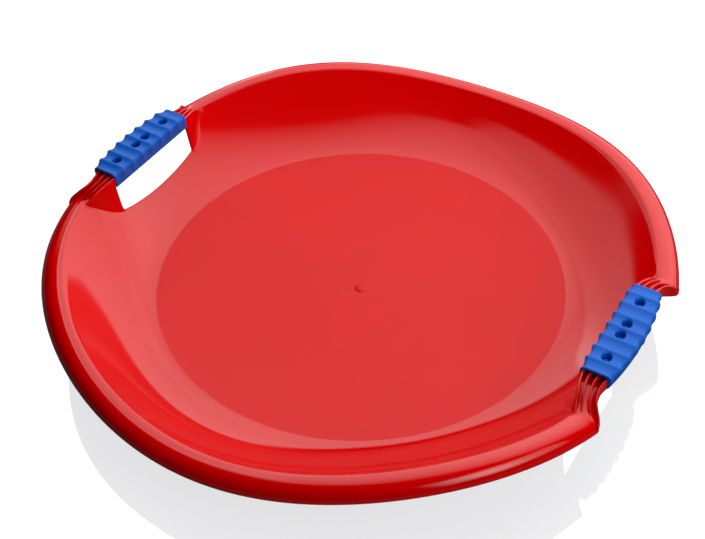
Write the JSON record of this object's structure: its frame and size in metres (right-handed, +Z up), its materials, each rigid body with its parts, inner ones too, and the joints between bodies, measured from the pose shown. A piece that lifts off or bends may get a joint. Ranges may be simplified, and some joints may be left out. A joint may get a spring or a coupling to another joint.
{
  "type": "saucer sled",
  "caption": "Shallow round plastic snow saucer with a rolled wavy rim, a matte seat area and, over a hand hole at either side, a finned carrying bar in a ridged hand grip.",
  "frame": {"origin": "middle of the flat underside of the dish, on the ground", "axes": "+Z up; the carrying bars and grips lie at -X and +X, and the rim is widest along Y"},
  "size_m": [0.5578, 0.587, 0.0853],
  "materials": {
    "dish": "glossy red, matte on the seat floor",
    "grip": "satin blue"
  },
  "bodies": {
    "root": {"dish_shell": "dish", "right_grip_upper": "grip", "right_grip_lower": "grip", "left_grip_upper": "grip", "left_grip_lower": "grip"}
  },
  "joints": []
}
